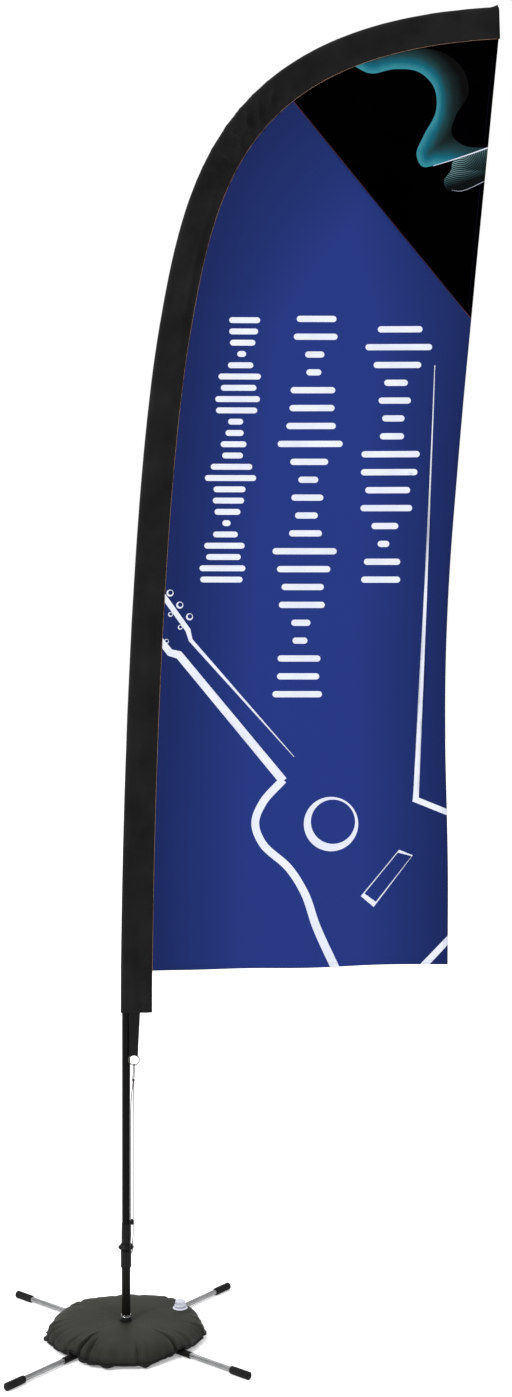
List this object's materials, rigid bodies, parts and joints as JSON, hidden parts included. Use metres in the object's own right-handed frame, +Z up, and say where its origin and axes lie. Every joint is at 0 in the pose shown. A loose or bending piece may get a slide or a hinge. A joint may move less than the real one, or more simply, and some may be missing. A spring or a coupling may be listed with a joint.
{
  "type": "feather flag",
  "caption": "Free-standing feather flag: a bowed pole in a fabric sleeve with a printed panel turns on a cross base weighed down by a water bag.",
  "frame": {"origin": "on the ground, at the centre of the flat underside of the base hub, under the upright pole", "axes": "+Z up along the pole, +X towards the free edge of the flag, the flag lies in the XZ plane and its printed front faces -Y"},
  "size_m": [1.2851, 0.6466, 3.4157],
  "materials": {
    "cast_hub": "satin",
    "black_tube": "satin",
    "plated_steel": "polished",
    "silver_tube": "satin",
    "black_rubber": "matte",
    "bag_pvc": "satin",
    "white_plastic": "gloss",
    "nylon": "satin",
    "black_plastic": "satin",
    "black_pole": "satin",
    "fibreglass": "satin",
    "black_cloth": "matte",
    "printed_cloth": "matte",
    "webbing": "matte",
    "elastic": "matte"
  },
  "bodies": {
    "base": {"base_hub": "cast_hub", "leg_arm_back_right": "black_tube", "leg_arm_back_left": "black_tube", "leg_arm_front_left": "black_tube", "leg_arm_front_right": "black_tube", "set_screw_back_right": "plated_steel", "set_screw_back_left": "plated_steel", "set_screw_front_left": "plated_steel", "set_screw_front_right": "plated_steel", "spindle": "plated_steel", "thrust_ring": "plated_steel", "retaining_clip": "plated_steel", "water_bag": "bag_pvc", "filler_neck": "white_plastic"},
    "leg_back_right": {"leg_tube_back_right": "silver_tube", "leg_cap_back_right": "black_rubber"},
    "leg_back_left": {"leg_tube_back_left": "silver_tube", "leg_cap_back_left": "black_rubber"},
    "leg_front_left": {"leg_tube_front_left": "silver_tube", "leg_cap_front_left": "black_rubber"},
    "leg_front_right": {"leg_tube_front_right": "silver_tube", "leg_cap_front_right": "black_rubber"},
    "cap_liner": {"cap_liner": "nylon"},
    "filler_cap": {"filler_cap": "white_plastic"},
    "mast": {"rotor_tube": "black_tube", "lower_bush": "nylon", "upper_bush": "nylon", "socket_spigot": "plated_steel", "socket_sleeve": "black_plastic", "tension_collar": "black_plastic", "pole_foot_ferrule": "black_plastic", "pole_lower": "black_pole", "ferrule_lower": "plated_steel", "pole_middle": "black_pole", "ferrule_middle": "plated_steel", "pole_upper": "black_pole", "ferrule_upper": "plated_steel", "pole_tip_rod": "fibreglass", "pole_tip_cap": "black_rubber", "sleeve": "black_cloth", "sleeve_end_pocket": "black_cloth", "flag_panel": "printed_cloth", "strap": "webbing", "split_ring": "plated_steel", "cord_hitch": "elastic", "cord_knot": "elastic", "tension_cord": "elastic"},
    "cord_lock": {"cord_lock": "black_plastic"}
  },
  "joints": [
    {"name": "leg_slide_back_right", "type": "slide", "parent": "base", "child": "leg_back_right", "axis": [0.6293, 0.7771, 0], "range_m": [-0.1, 0]},
    {"name": "leg_slide_back_left", "type": "slide", "parent": "base", "child": "leg_back_left", "axis": [-0.7771, 0.6293, 0], "range_m": [-0.1, 0]},
    {"name": "leg_slide_front_left", "type": "slide", "parent": "base", "child": "leg_front_left", "axis": [-0.6293, -0.7771, 0], "range_m": [-0.1, 0]},
    {"name": "leg_slide_front_right", "type": "slide", "parent": "base", "child": "leg_front_right", "axis": [0.7771, -0.6293, 0], "range_m": [-0.1, 0]},
    {"name": "cap_lift", "type": "slide", "parent": "base", "child": "cap_liner", "axis": [0, 0, 1], "range_m": [0, 0.0045]},
    {"name": "cap_turn", "type": "hinge", "parent": "cap_liner", "child": "filler_cap", "pos_m": [0.136, 0.065, 0.06], "axis": [0, 0, 1], "range_deg": [0, 540]},
    {"name": "flag_spin", "type": "hinge", "parent": "base", "child": "mast", "pos_m": [0, 0, 0.1], "axis": [0, 0, 1], "continuous": true},
    {"name": "lock_slide", "type": "slide", "parent": "mast", "child": "cord_lock", "axis": [0, 0, 1], "range_m": [-0.012, 0.24]}
  ],
  "couplings": [
    {"joint": "cap_turn", "follows": "cap_lift", "rad_per_m": 2094.4}
  ]
}
